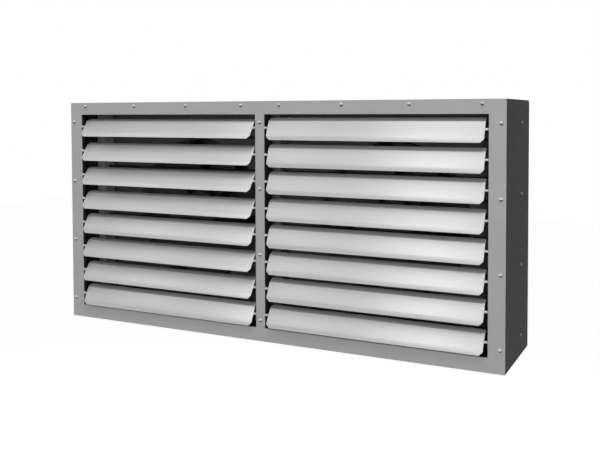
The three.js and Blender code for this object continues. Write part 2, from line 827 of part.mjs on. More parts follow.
/** Box on the inside of the rear panel, open at the bottom. */
function terminalBox() {
  const half = boxWidth / 2;
  const shell = block(-half, half, boxFront, boxRear, boxBottom, boxTop);
  const inside = block(-half + boxWall, half - boxWall, boxFront + boxWall, boxRear - boxWall,
    boxBottom - overrun, boxTop - boxWall);
  const glandHole = alongY(glandHoleOutline, boxRear - boxWall - overrun, boxRear + overrun);
  return cut(shell, [inside, glandHole]);
}

function terminalBoxLid() {
  const half = boxWidth / 2;
  const inner = boxWall + seatGap;
  const lidTop = boxBottom - seatGap;
  const lip = block(-half + inner, half - inner, boxFront + inner, boxRear - inner,
    lidTop - boxWall, lidTop + lidLip);
  const hollow = block(-half + inner + boxWall, half - inner - boxWall,
    boxFront + inner + boxWall, boxRear - inner - boxWall, lidTop, lidTop + lidLip + overrun);
  return block(-half, half, boxFront, boxRear, lidTop - boxWall, lidTop)
    .add(lip.subtract(hollow));
}

/** Row of terminals on the front wall of the box. */
function terminalBlock() {
  const half = blockWidth / 2;
  const blockFront = boxFront + boxWall + seatGap;
  const blockRear = blockFront + blockDepth;
  const middle = boxBottom + lidLip + blockHeight;
  const body = block(-half, half, blockFront, blockRear,
    middle - blockHeight / 2, middle + blockHeight / 2);
  const poles = Array.from({ length: blockPoles }, (_, i) => {
    const x = -half + (blockWidth * (i + 0.5)) / blockPoles;
    return rodY(poleRadius, x, middle, blockRear - poleDepth, blockRear + overrun);
  });
  return cut(body, poles);
}

/** Gland through the rear panel and the box, with its bore open for the supply cable. */
function cableGland() {
  const collarFront = rear + seatGap;
  const collarRear = collarFront + glandCollarLength;
  const nutRear = collarRear + glandNutLength;
  return spun([
    [glandBoreRadius, collarFront - glandThreadLength],
    [glandThreadRadius, collarFront - glandThreadLength],
    [glandThreadRadius, collarFront],
    [glandCollarRadius, collarFront],
    [glandCollarRadius, collarRear],
    [glandNutRadius, collarRear],
    [glandNutRadius, nutRear - (glandNutRadius - glandMouthRadius)],
    [glandMouthRadius, nutRear],
    [glandBoreRadius, nutRear],
    [glandBoreRadius, collarFront - glandThreadLength],
  ], 0, top - glandDrop, boreFacets);
}

function glandLocknut() {
  const nutRear = boxRear - boxWall - seatGap;
  return alongY(polygon(0, top - glandDrop, locknutFlats / 2, hexSides),
    nutRear - locknutHeight, nutRear, [glandHoleOutline]);
}

/** Overheat cut-out on the front of the bulkhead, between the fans. */
function overheatCutout() {
  const seat = bulkheadFront - seatGap;
  const z = top - cutoutDrop;
  const plateFront = seat - cutoutPlateSheet;
  const plate = block(-cutoutPlateWidth / 2, cutoutPlateWidth / 2, plateFront, seat,
    z - cutoutPlateHeight / 2, z + cutoutPlateHeight / 2);
  const can = alongY(polygon(0, z, cutoutRadius, boreFacets), seat - cutoutLength, seat);
  return plate.add(can);
}

piece('terminal_box', terminalBox(), blackPlastic);
piece('terminal_box_lid', terminalBoxLid(), blackPlastic);
piece('terminal_block', terminalBlock(), paleCeramic);
piece('cable_gland', cableGland(), blackPlastic);
piece('gland_locknut', glandLocknut(), blackPlastic);
piece('overheat_cutout', overheatCutout(), paleCeramic);

// ---------------------------------------------------------------- suspension nuts

function suspensionNut({ x, y }) {
  return alongZ(polygon(x, y, nutFlats / 2, hexSides), liningTop - nutHeight, liningTop,
    [polygon(x, y, nutBoreRadius, smallFacets)]);
}

suspensionPoints.forEach((point, i) => {
  piece(`suspension_nut_${i + 1}`, suspensionNut(point), zincSteel);
});

export default heater;
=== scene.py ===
"""Looks of a ceiling mounted fan heater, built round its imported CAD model."""

import json
import math

import bmesh
import bpy
from bpy.props import FloatProperty, FloatVectorProperty, IntProperty, PointerProperty
from bpy.types import Operator, Panel, PropertyGroup
from mathutils import Matrix, Vector


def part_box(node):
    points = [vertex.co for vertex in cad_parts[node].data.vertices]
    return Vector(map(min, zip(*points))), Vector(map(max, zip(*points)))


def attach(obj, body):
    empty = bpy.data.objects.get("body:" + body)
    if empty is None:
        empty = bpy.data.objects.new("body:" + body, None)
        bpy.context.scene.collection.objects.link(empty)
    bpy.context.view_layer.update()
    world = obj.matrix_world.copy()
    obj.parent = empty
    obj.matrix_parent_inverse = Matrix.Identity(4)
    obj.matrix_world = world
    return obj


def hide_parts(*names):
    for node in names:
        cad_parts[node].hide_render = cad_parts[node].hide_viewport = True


bl_info = {
    "name": "Ceiling Fan Heater",
    "version": (1, 0, 0),
    "blender": (4, 5, 0),
    "location": "View3D > Sidebar > Fan Heater",
    "description": "Louvres, fasteners, fans, finishes and stage of a ceiling mounted fan heater",
    "category": "Object",
}

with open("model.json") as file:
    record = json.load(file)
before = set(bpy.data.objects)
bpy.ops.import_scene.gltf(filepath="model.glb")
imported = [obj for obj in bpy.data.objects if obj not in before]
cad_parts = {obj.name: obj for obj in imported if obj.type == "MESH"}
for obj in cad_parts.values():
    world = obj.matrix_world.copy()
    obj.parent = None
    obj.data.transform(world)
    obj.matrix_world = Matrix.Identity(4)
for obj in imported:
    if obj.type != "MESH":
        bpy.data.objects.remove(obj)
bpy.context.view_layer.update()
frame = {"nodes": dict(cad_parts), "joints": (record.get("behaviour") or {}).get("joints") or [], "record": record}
JOINTS = {joint["child"]: joint for joint in frame["joints"]}
NODE_SLOTS = {part["node"]: part["material_slot"] for part in frame["record"]["subparts"]}
CASING_LOW, CASING_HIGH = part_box("side_panel_left")[0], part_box("side_panel_right")[1]
FRONT_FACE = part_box("front_frame")[0].y
# Plates inside whose grey coat is kept dark partly as painted shade for the inside of the casing.
SHADED_INSIDE_NODES = ("fan_bulkhead", "element_rack_centre")
SHEETS = ("front_frame", "side_panel_left", "side_panel_right", "top_rear_panel", "bottom_panel")
MM = 0.001
SEAT_GAP = 0.3 * MM
TOUCH = 1e-6
NEAR = 1e-5
EDGE_TURN = math.radians(50)
SENSOR_WIDTH = 36
FLOOR_SIZE = 40
SPIN_STEP = 37
ALONG_X, ALONG_Y = (0, math.pi / 2, 0), (math.pi / 2, 0, 0)


# ---- settings


def length_of(name, description, metres):
    return FloatProperty(name=name, description=description, default=metres, unit="LENGTH")


def angle_of(name, description, degrees):
    turn = math.radians(degrees)
    return FloatProperty(name=name, description=description, default=turn, unit="ROTATION")


def number_of(name, description, number):
    return FloatProperty(name=name, description=description, default=number)


def count_of(name, description, number, least):
    return IntProperty(name=name, description=description, default=number, min=least)


def colour_of(name, description, tone):
    return FloatVectorProperty(name=name, description=description, default=tone, subtype="COLOR")


def place_of(name, description, place):
    return FloatVectorProperty(name=name, description=description, default=place, subtype="TRANSLATION")


class HeaterSheetSizes(PropertyGroup):
    """Sizes of the casing's folded sheets."""

    edge_break: length_of("Edge break", "Width of a broken edge", 0.4 * MM)


class HeaterLouvreSizes(PropertyGroup):
    """Sizes of one louvre blade about its pivot axis."""

    length: length_of("Length", "Blade from end to end", 532.8 * MM)
    sheet: length_of("Sheet", "Thickness of the sheet", 1.2 * MM)
    face_offset: length_of("Face offset", "Flat face in front of the pivot axis", 1.6 * MM)
    upper_flat: length_of("Upper flat", "Pivot up to the curl", 15.4 * MM)
    lower_flat: length_of("Lower flat", "Pivot down to the lip", 19 * MM)
    curl_angle: angle_of("Curl angle", "Turn of the top edge to the rear", 38)
    curl_radius: length_of("Curl radius", "Bend below the curl", 6 * MM)
    curl_length: length_of("Curl length", "Straight part of the curl", 12.6 * MM)
    lip_angle: angle_of("Lip angle", "Turn of the bottom lip to the rear", 10.4)
    lip_length: length_of("Lip length", "Height of the bottom lip", 12.2 * MM)
    corner_radius: length_of("Top corners", "Radius of the top corners", 6 * MM)
    corner_chamfer: length_of("Bottom corners", "Chamfer of the bottom corners", 8.5 * MM)
    root_radius: length_of("Root radius", "Radius of the pin let into the blade", 1.9 * MM)
    root_length: length_of("Root length", "Length of the pin let into the blade", 14 * MM)
    stub_radius: length_of("Stub radius", "Pivot between blade and frame", 2.7 * MM)
    stub_flare: length_of("Stub flare", "Radius of both ends of the stub", 3.6 * MM)
    stub_reach: length_of("Stub reach", "Middle of the blade to the frame's edge", 274.7 * MM)
    journal_radius: length_of("Journal radius", "Pivot inside its hole", 1.5 * MM)
    journal_reach: length_of("Journal reach", "Middle of the blade to the journal's end", 277.3 * MM)


class HeaterScrewSizes(PropertyGroup):
    """Sizes and places of the sheet metal screws."""

    head_radius: length_of("Head radius", "Radius of the pan head", 4.2 * MM)
    dome_height: length_of("Dome height", "Domed part of the head", 3.0 * MM)
    rim_height: length_of("Rim height", "Straight part of the head", 0.6 * MM)
    shank_radius: length_of("Shank radius", "Radius of the shank", 2 * MM)
    shank_length: length_of("Shank length", "Length of the shank", 9 * MM)
    recess_width: length_of("Recess width", "Slots of the cross recess", 1.1 * MM)
    rail_half_count: count_of("Rail screws", "Top rail screws on each side of the middle", 4, 1)
    rail_first: length_of("Rail first", "Middle of the casing to the first top rail screw", 53 * MM)
    rail_step: length_of("Rail step", "One top rail screw to the next", 165 * MM)
    rail_drop: length_of("Rail drop", "Top rail screws below the top edge", 10 * MM)
    side_setback: length_of("Side setback", "Side panel screws behind the front face", 153 * MM)
    side_first: length_of("Side first", "Top face to the first side panel screw", 52 * MM)
    side_step: length_of("Side step", "One side panel screw to the next", 162.4 * MM)
    side_count: count_of("Side screws", "Screws in each side panel", 4, 1)


class HeaterFanSizes(PropertyGroup):
    """Sizes of the impellers, their motors and their guards."""

    blade_count: count_of("Blades", "Blades of an impeller", 7, 3)
    blade_width: angle_of("Blade width", "Angle that a blade covers", 45)
    blade_sweep: angle_of("Blade sweep", "Angle by which the tip leads the root", 22)
    blade_depth: length_of("Blade depth", "Blade along the axis", 34 * MM)
    blade_sheet: length_of("Blade sheet", "Thickness of a fan blade", 2 * MM)
    blade_setback: length_of("Blade setback", "Blades behind the hub's nose", 6 * MM)
    tip_radius: length_of("Tip radius", "Axis to blade tip", 190 * MM)
    hub_radius: length_of("Hub radius", "Outside of the hub", 52 * MM)
    hub_nose: length_of("Hub nose", "Rounding of the hub's nose", 6 * MM)
    hub_wall: length_of("Hub wall", "Thickness of the hub", 2.5 * MM)
    boss_radius: length_of("Boss radius", "Boss inside the hub", 12 * MM)
    boss_length: length_of("Boss length", "Nose to the boss's end", 14 * MM)
    bore_radius: length_of("Bore radius", "Bore round the shaft", 5.3 * MM)
    motor_ribs: count_of("Motor ribs", "Ribs round a motor", 5, 1)
    motor_rib_depth: length_of("Rib depth", "Grooves between the ribs", 2 * MM)
    guard_wire: length_of("Guard wire", "Diameter of the guard's wires", 4 * MM)
    guard_rings: count_of("Guard rings", "Rings of a guard", 4, 2)
    guard_spokes: count_of("Guard spokes", "Spokes of a guard", 4, 3)
    guard_plate: length_of("Guard plate", "Radius of the plate that carries the motor", 50 * MM)


class HeaterGlandSizes(PropertyGroup):
    """Sizes of the cable gland about its axis."""

    bore_radius: length_of("Bore", "Radius of the cable's bore", 7 * MM)
    mouth_radius: length_of("Mouth", "Radius of the nut's end", 10 * MM)
    nut_radius: length_of("Nut", "Radius of the cap nut", 14 * MM)
    nut_length: length_of("Nut length", "Cap nut past the collar", 12 * MM)
    nut_ribs: count_of("Nut ribs", "Grip ribs round the nut", 18, 6)
    collar_radius: length_of("Collar", "Radius over the collar's corners", 16 * MM)
    collar_length: length_of("Collar length", "Thickness of the collar", 8 * MM)
    thread_radius: length_of("Thread", "Radius over the thread", 12 * MM)
    thread_pitch: length_of("Pitch", "Pitch of the thread", 1.5 * MM)


class HeaterElementSizes(PropertyGroup):
    """Sizes of one hairpin heating element."""

    radius: length_of("Sheath radius", "Radius of the sheath", 4.25 * MM)
    bend_radius: length_of("Bend radius", "Middle of the hairpin's bend", 18 * MM)
    stud_radius: length_of("Stud radius", "Terminal stud", 2 * MM)
    stud_length: length_of("Stud length", "Stud past the sheath", 12 * MM)


class HeaterColours(PropertyGroup):
    """Colours of the finishes."""

    frame_grey: colour_of("Frame grey", "Powder coat of the front frame", (0.43, 0.43, 0.43))
    casing_grey: colour_of("Casing grey", "Powder coat of the casing panels", (0.026, 0.026, 0.026))
    blade_silver: colour_of("Blade silver", "Satin anodised louvre blades", (0.52, 0.52, 0.52))
    # Kept dark partly as painted shade for the inside of the casing.
    inner_shade_grey: colour_of("Inner grey", "Coat of the plates inside", (0.19, 0.19, 0.19))
    zinc: colour_of("Zinc", "Galvanised sheet", (0.5, 0.5, 0.49))
    sheath: colour_of("Sheath", "Oxidised element sheath", (0.035, 0.031, 0.028))
    fan_black: colour_of("Fan black", "Powder coat of fans and guards", (0.06, 0.06, 0.061))
    motor_grey: colour_of("Motor grey", "Cast motor", (0.3, 0.3, 0.31))
    moulding_black: colour_of("Moulding black", "Terminal box and gland", (0.012, 0.012, 0.012))
    ceramic: colour_of("Ceramic", "Terminal block and cut-out", (0.78, 0.74, 0.63))
    # Pale enough to stand in partly for the heads' highlight, a painted highlight.
    screw_steel: colour_of("Screw steel", "Plated screws", (0.88, 0.88, 0.87))
    # Painted shade: a darker copy of the screw plating, for the screws on the shaded side panels.
    side_screw: colour_of("Side screws", "Duller screws of the side panels", (0.4, 0.4, 0.395))


class HeaterStage(PropertyGroup):
    """Camera, lights and floor."""

    camera_place: place_of("Camera place", "Where the camera stands", (0.9679, -1.7367, -0.0347))
    camera_turn: FloatVectorProperty(
        name="Camera turn",
        description="Which way the camera looks",
        subtype="EULER",
        default=(math.radians(87.935), math.radians(0.076), math.radians(24.944)),
    )
    camera_lens: FloatProperty(
        name="Lens", description="Focal length", default=46.452, subtype="DISTANCE_CAMERA"
    )
    camera_shift: FloatVectorProperty(
        name="Shift", description="Framing of the photograph", size=2, default=(-0.0667, -0.1555)
    )
    fill_strength: number_of("Fill", "Strength of the light from all round", 0.02)
    floor_drop: length_of("Floor drop", "Top of the heater to the floor", 3)


LIGHTS = {
    "key": ("the high soft light", (0.37, -2.2, 4.24), 82, 1.8),
    "front": ("the front soft light", (0.0, -4.65, 1.82), 78, 2.2),
    "left": ("the left soft light", (-3.47, -3.03, 1.82), 20, 1.5),
    "low": ("the low soft light", (2.49, -4.43, 0.15), 45, 1.5),
    "back": ("the light behind the heater", (-1.6, 4.2, 2.6), 90, 2.0),
}
for name, (words, place, power, size) in LIGHTS.items():
    label = name.capitalize()
    HeaterStage.__annotations__.update(
        {
            f"{name}_place": place_of(f"{label} place", f"Where {words} hangs", place),
            f"{name}_power": number_of(f"{label} power", f"Watts of {words}", power),
            f"{name}_size": length_of(f"{label} size", f"Edge of {words}", size),
        }
    )


SETTINGS = {
    "heater_sheet": HeaterSheetSizes,
    "heater_louvre": HeaterLouvreSizes,
    "heater_screw": HeaterScrewSizes,
    "heater_fan": HeaterFanSizes,
    "heater_gland": HeaterGlandSizes,
    "heater_element": HeaterElementSizes,
    "heater_colours": HeaterColours,
    "heater_stage": HeaterStage,
}


# ---- modelling


def leave_edit():
    """Back to object mode."""
    bpy.ops.object.mode_set(mode="OBJECT")


def select_everything():
    """Selects the whole of the piece in edit mode."""
    bpy.ops.mesh.select_all(action="SELECT")


def clear_bench():
    """Object mode with nothing selected."""
    if bpy.context.mode != "OBJECT":
        leave_edit()
    bpy.ops.object.select_all(action="DESELECT")


def take(piece):
    """Selects one piece alone and makes it the active one."""
    clear_bench()
    piece.select_set(True)
    bpy.context.view_layer.objects.active = piece
    return piece


def added(operator, name, **settings):
    """The piece that a primitive operator adds, with its place applied."""
    clear_bench()
    operator(**settings)
    piece = bpy.context.active_object
    piece.name = name
    bpy.ops.object.transform_apply(location=True, rotation=True, scale=True)
    return piece


def rod(name, sides, radius, length, place, turn):
    """A bar with its middle at a place, round when it has many sides."""
    return added(
        bpy.ops.mesh.primitive_cylinder_add,
        name,
        vertices=sides,
        radius=radius,
        depth=length,
        location=place,
        rotation=turn,
    )


def edit(piece):
    """Edit mode on one piece, with its vertices to select."""
    take(piece)
    bpy.ops.object.mode_set(mode="EDIT")
    bpy.ops.mesh.select_mode(type="VERT")


def middle(item):
    """Middle of an edge or face."""
    return sum((v.co for v in item.verts), Vector()) / len(item.verts)


def pick(piece, kind, test):
    """In edit mode, selects the vertices, edges or faces that pass a test."""
    bpy.ops.mesh.select_mode(type=kind)
    bpy.ops.mesh.select_all(action="DESELECT")
    mesh = bmesh.from_edit_mesh(piece.data)
    items = {"VERT": mesh.verts, "EDGE": mesh.edges, "FACE": mesh.faces}[kind]
    for item in items:
        if test(item):
            item.select_set(True)
    mesh.select_flush_mode()
    bmesh.update_edit_mesh(piece.data)


def extrude(offset):
    """Extrudes what is selected by an offset."""
    bpy.ops.mesh.extrude_region_move(TRANSFORM_OT_translate={"value": tuple(offset)})


def shape(piece, kind, **settings):
    """Adds a modifier to a piece and applies it."""
    take(piece)
    bpy.ops.object.modifier_add(type=kind)
    modifier = piece.modifiers[-1]
    for key, value in settings.items():
        setattr(modifier, key, value)
    bpy.ops.object.modifier_apply(modifier=modifier.name)


def break_edges(piece, width):
    """Rounds every sharp edge of a piece."""
    shape(piece, "BEVEL", width=width, segments=2, limit_method="ANGLE", angle_limit=EDGE_TURN)


def carve(piece, tool, operation="DIFFERENCE"):
    """Cuts a piece with a tool, or adds the tool to it. The tool is used up."""
    shape(piece, "BOOLEAN", operation=operation, object=tool, solver="EXACT")
    bpy.data.objects.remove(tool)


def join(pieces, name):
    """Several pieces as one."""
    clear_bench()
    for piece in pieces:
        piece.select_set(True)
    bpy.context.view_layer.objects.active = pieces[0]
    bpy.ops.object.join()
    pieces[0].name = name
    return pieces[0]


def smooth(piece, degrees=30):
    """Smooth shading that keeps the sharper edges."""
    take(piece)
    bpy.ops.object.shade_smooth_by_angle(angle=math.radians(degrees))


def outward(piece):
    """Merges doubles and turns every face outwards."""
    edit(piece)
    select_everything()
    bpy.ops.mesh.remove_doubles(threshold=TOUCH)
    bpy.ops.mesh.normals_make_consistent(inside=False)
    leave_edit()


def revolved(name, outline, steps=48):
    """An outline of (radius, y) points, drawn point by point and spun about the Y axis."""
    points = [Vector((radius, y, 0)) for radius, y in outline]
    hollow = points[0].x > 0
    piece = added(bpy.ops.mesh.primitive_plane_add, name, size=MM, location=points[0])
    edit(piece)
    select_everything()
    bpy.ops.mesh.merge(type="CENTER")
    for start, end in zip(points, points[1:] + points[: int(hollow)]):
        extrude(end - start)
    select_everything()
    bpy.ops.mesh.remove_doubles(threshold=TOUCH)
    select_everything()
    bpy.ops.mesh.spin(steps=steps, angle=2 * math.pi, center=(0, 0, 0), axis=(0, 1, 0))
    leave_edit()
    outward(piece)
    return piece


def rounded(centre, radius, start, end, steps=5):
    """Points of a rounded corner, angles in degrees from the radial direction towards +Y."""
    turns = [math.radians(start + (end - start) * i / steps) for i in range(steps + 1)]
    return [(centre[0] + radius * math.cos(t), centre[1] + radius * math.sin(t)) for t in turns]


def copy_to(pattern, name, matrix):
    """A copy of a pattern with its own mesh, put in place by its vertices."""
    twin = pattern.copy()
    twin.data = pattern.data.copy()
    twin.name = twin.data.name = name
    bpy.context.scene.collection.objects.link(twin)
    twin.data.transform(matrix)
    return twin


def ring_of(piece, count):
    """A piece and its copies, spread evenly about the Y axis."""
    names = [f"{piece.name}_{i}" for i in range(1, count)]
    turns = [turned("Y", 360 * i / count) for i in range(1, count)]
    return [piece, *(copy_to(piece, name, turn) for name, turn in zip(names, turns))]


def dress(piece, slot, body, *nodes, finish=None):
    """Gives a piece its finish, the slot's own unless named, and the body that it rides on."""
    piece.data.materials.clear()
    piece.data.materials.append(finish_of(finish or slot))
    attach(piece, body)
    if nodes:
        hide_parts(*nodes)


def turned(axis, degrees):
    """A turn about one axis."""
    return Matrix.Rotation(math.radians(degrees), 4, axis)


# ---- finishes


def new_finish(name):
    """An empty finish with its shader and object coordinates."""
    finish = bpy.data.materials.new(name)
    finish.use_nodes = True
    tree = finish.node_tree
    tree.nodes.clear()
    output = tree.nodes.new("ShaderNodeOutputMaterial")
    shader = tree.nodes.new("ShaderNodeBsdfPrincipled")
    place = tree.nodes.new("ShaderNodeTexCoord")
    tree.links.new(shader.outputs["BSDF"], output.inputs["Surface"])
    return finish, tree, shader, place.outputs["Object"]


def wired(tree, kind, inputs):
    """A new node whose sockets are linked or set."""
    node = tree.nodes.new(kind)
    for socket, value in inputs.items():
        if isinstance(value, bpy.types.NodeSocket):
            tree.links.new(value, node.inputs[socket])
        else:
            node.inputs[socket].default_value = value
    return node


def stretched(tree, place, scale):
    """Object coordinates scaled along each axis."""
    return wired(tree, "ShaderNodeMapping", {"Vector": place, "Scale": scale}).outputs["Vector"]


def noise(tree, place, scale, detail=3.0):
    """Cloudy texture values at a scale."""
    inputs = {"Vector": place, "Scale": scale, "Detail": detail}
    return wired(tree, "ShaderNodeTexNoise", inputs).outputs["Fac"]


def ranged(tree, value, low, high, out_low, out_high):
    """A value's span from low to high spread over another span."""
    inputs = {"Value": value, "From Min": low, "From Max": high, "To Min": out_low, "To Max": out_high}
    return wired(tree, "ShaderNodeMapRange", inputs).outputs["Result"]


def toned(tree, value, colour, dark, light):
    """A colour that runs from a darker to a lighter tone of itself."""
    ramp = tree.nodes.new("ShaderNodeValToRGB")
    for element, tone, at in zip(ramp.color_ramp.elements, (dark, light), (0.3, 0.7)):
        element.position = at
        element.color = (*(min(1.0, c * tone) for c in colour), 1.0)
    tree.links.new(value, ramp.inputs["Fac"])
    return ramp.outputs["Color"]


def mixed(tree, factor, first, second):
    """One colour over another by a factor."""
    mix = tree.nodes.new("ShaderNodeMix")
    mix.data_type = "RGBA"
    tree.links.new(factor, mix.inputs["Factor"])
    tree.links.new(first, mix.inputs[6])
    tree.links.new(second, mix.inputs[7])
    return mix.outputs[2]


def uneven(tree, texture, low, high):
    """A texture's middle tones spread from low to high."""
    return ranged(tree, texture, 0.3, 0.7, low, high)


def surfaced(tree, shader, base, rough, skin, depth, metallic=0.0):
    """Plugs a colour, a roughness and a skin of some depth in metres into a shader."""
    tree.links.new(base, shader.inputs["Base Color"])
    tree.links.new(rough, shader.inputs["Roughness"])
    shader.inputs["Metallic"].default_value = metallic
    bump = wired(tree, "ShaderNodeBump", {"Distance": depth, "Height": skin})
    tree.links.new(bump.outputs["Normal"], shader.inputs["Normal"])


def node_of(tree, kind):
    """The first node of one kind in a finish."""
    return next(n for n in tree.nodes if n.type == kind)


def powder_coat(name, colour, gloss, shine=0.4):
    """Satin powder coat: cloudy tone, fine flecks and a low orange peel."""
    finish, tree, shader, place = new_finish(name)
    cloud = toned(tree, noise(tree, place, 11, 4), colour, 0.97, 1.03)
    fleck = ranged(tree, noise(tree, place, 900, 2), 0.62, 0.72, 0.0, 0.35)
    pale = toned(tree, noise(tree, place, 40), colour, 1.2, 1.3)
    rough = uneven(tree, noise(tree, place, 60, 5), gloss - 0.03, gloss + 0.04)
    base = mixed(tree, fleck, cloud, pale)
    surfaced(tree, shader, base, rough, noise(tree, place, 550, 2), 0.00004)
    shader.inputs["Specular IOR Level"].default_value = shine
    return finish


def frame_coat(name, colour, inner, gloss):
    """Powder coat with painted shade: behind the front face, where the edges turn in, the pale tone gives way to
    the casing's dark grey, which stands for the shade on the turned-in edges.
    """
    finish = powder_coat(name, colour, gloss)
    tree = finish.node_tree
    base = node_of(tree, "BSDF_PRINCIPLED").inputs["Base Color"]
    outer = base.links[0].from_socket
    place = node_of(tree, "TEX_COORD").outputs["Object"]
    axes = wired(tree, "ShaderNodeSeparateXYZ", {"Vector": place})
    # Painted shade: over these depths behind the front face the coat runs from its pale tone to the dark grey.
    pale_end, dark_start = FRONT_FACE + 1.6 * MM, FRONT_FACE + 2.2 * MM
    depth = ranged(tree, axes.outputs["Y"], pale_end, dark_start, 0, 1)
    dark = toned(tree, noise(tree, place, 60), inner, 0.9, 1.1)
    tree.links.new(mixed(tree, depth, outer, dark), base)
    return finish


def rolled_aluminium(name, colour):
    """Satin anodised sheet with its rolling grain along the blade."""
    finish, tree, shader, place = new_finish(name)
    grain = noise(tree, stretched(tree, place, (6, 900, 900)), 1, 3)
    soft = noise(tree, stretched(tree, place, (3, 14, 14)), 1, 4)
    cloud = toned(tree, soft, colour, 0.95, 1.05)
    streak = toned(tree, grain, colour, 0.9, 1.1)
    share = uneven(tree, noise(tree, place, 25), 0.25, 0.6)
    rough = uneven(tree, grain, 0.36, 0.46)
    surfaced(tree, shader, mixed(tree, share, cloud, streak), rough, grain, 0.00002, 0.3)
    return finish


def galvanised(name, colour):
    """Zinc coated sheet with soft crystal patches."""
    finish, tree, shader, place = new_finish(name)
    patches = wired(tree, "ShaderNodeTexVoronoi", {"Vector": place, "Scale": 110})
    tone = toned(tree, patches.outputs["Color"], colour, 0.8, 1.15)
    cloud = toned(tree, noise(tree, place, 12, 4), colour, 0.85, 1.1)
    share = uneven(tree, noise(tree, place, 60), 0.3, 0.7)
    rough = ranged(tree, patches.outputs["Distance"], 0.0, 0.6, 0.38, 0.55)
    base = mixed(tree, share, tone, cloud)
    surfaced(tree, shader, base, rough, noise(tree, place, 300), 0.00003, 0.25)
    return finish


def heated_sheath(name, colour):
    """Element sheath darkened by heat, with straw patches."""
    finish, tree, shader, place = new_finish(name)
    dark = toned(tree, noise(tree, place, 90, 4), colour, 0.7, 1.3)
    straw = toned(tree, noise(tree, place, 30), (0.11, 0.075, 0.04), 0.8, 1.2)
    share = ranged(tree, noise(tree, place, 14, 3), 0.55, 0.75, 0.0, 0.6)
    rough = uneven(tree, noise(tree, place, 200), 0.5, 0.68)
    base = mixed(tree, share, dark, straw)
    surfaced(tree, shader, base, rough, noise(tree, place, 900), 0.00004, 0.6)
    return finish


def plain_skin(name, colour, cloud, gloss, skin, metallic=0.0):
    """One material all through. Cloud is scale, detail, darkest and lightest tone, gloss is scale and
    span of roughness, skin is scale, detail and depth."""
    finish, tree, shader, place = new_finish(name)
    base = toned(tree, noise(tree, place, *cloud[:2]), colour, *cloud[2:])
    rough = uneven(tree, noise(tree, place, gloss[0]), *gloss[1:])
    surfaced(tree, shader, base, rough, noise(tree, place, *skin[:2]), skin[2], metallic)
    return finish


def plated_steel(name, colour):
    """Bright plating with faint smudges, darkened as painted shade where the head faces down; its pale tone stands
    in partly for the heads' highlight.
    """
    finish, tree, shader, place = new_finish(name)
    plating_and_highlight = toned(tree, noise(tree, place, 500, 3), colour, 0.88, 1.08)
    painted_shade = toned(tree, noise(tree, place, 700, 3), colour, 0.05, 0.09)
    normal = node_of(tree, "TEX_COORD").outputs["Normal"]
    facing = wired(tree, "ShaderNodeSeparateXYZ", {"Vector": normal})
    # Painted shade: the plating turns dark where the head faces down.
    downward_shade_mask = ranged(tree, facing.outputs["Z"], 0.1, -0.25, 0, 1)
    rough = uneven(tree, noise(tree, place, 700), 0.2, 0.36)
    base = mixed(tree, downward_shade_mask, plating_and_highlight, painted_shade)
    surfaced(tree, shader, base, rough, noise(tree, place, 3000), 0.00001)
    shader.inputs["Specular IOR Level"].default_value = 0.4
    return finish


FINISH_MAKERS = {
    # The frame's turned-in edges take the casing grey as painted shade.
    "grey_paint": lambda c: frame_coat("frame_grey_coat", c.frame_grey, c.casing_grey, gloss=0.5),
    "dark_paint": lambda c: powder_coat("casing_grey_coat", c.casing_grey, gloss=0.62, shine=0.095),
    "inner_shade_paint": lambda c: powder_coat("inner_grey_coat", c.inner_shade_grey, gloss=0.6, shine=0.2),
    "blade_aluminium": lambda c: rolled_aluminium("blade_satin", c.blade_silver),
    "zinc_steel": lambda c: galvanised("galvanised_sheet", c.zinc),
    "element_sheath": lambda c: heated_sheath("element_sheath", c.sheath),
    "fan_steel": lambda c: powder_coat("fan_black_coat", c.fan_black, gloss=0.45),
    "motor_casting": lambda c: plain_skin(
        "motor_casting", c.motor_grey, (45, 4, 0.85, 1.12), (160, 0.42, 0.58), (1200, 2, 0.00008), 0.8
    ),
    "black_plastic": lambda c: plain_skin(
        "black_moulding", c.moulding_black, (70, 3, 0.85, 1.25), (300, 0.45, 0.6), (2200, 2, 0.00005)
    ),
    "ceramic": lambda c: plain_skin(
        "glazed_ceramic", c.ceramic, (120, 4, 0.93, 1.05), (80, 0.22, 0.4), (500, 3.0, 0.00004)
    ),
    "screw_steel": lambda c: plated_steel("plated_screw", c.screw_steel),
    "side_screw": lambda c: plated_steel("dull_screw", c.side_screw),
}


def finish_of(slot):
    """The finish for a material slot, made when first asked for."""
    made = next((m for m in bpy.data.materials if m.get("heater_slot") == slot), None)
    if made is None:
        made = FINISH_MAKERS[slot](bpy.context.scene.heater_colours)
        made["heater_slot"] = slot
    return made


# ---- pieces


class HEATER_OT_casing_finish(Operator):
    """Paints the casing and every other CAD node that stays in view"""

    bl_idname = "heater.casing_finish"
    bl_label = "Casing finish"

    def execute(self, context):
        for name, node in frame["nodes"].items():
            node.data.materials.clear()
            # The plates inside take a grey that is darkened partly as painted shade.
            node.data.materials.append(finish_of("inner_shade_paint" if name in SHADED_INSIDE_NODES else NODE_SLOTS[name]))
        return {"FINISHED"}


class HEATER_OT_sheet_edges(Operator):
    """Copies the folded sheets of the casing and breaks their edges"""

    bl_idname = "heater.sheet_edges"
    bl_label = "Sheet edges"

    def execute(self, context):
        sizes = context.scene.heater_sheet
        for name in SHEETS:
            sheet = copy_to(frame["nodes"][name], name.replace("panel", "sheet") + "_edged", Matrix())
            outward(sheet)
            edit(sheet)
            select_everything()
            bpy.ops.mesh.dissolve_limited(angle_limit=math.radians(0.5))
            leave_edit()
            break_edges(sheet, sizes.edge_break)
            dress(sheet, NODE_SLOTS[name], "casing", name)
        return {"FINISHED"}


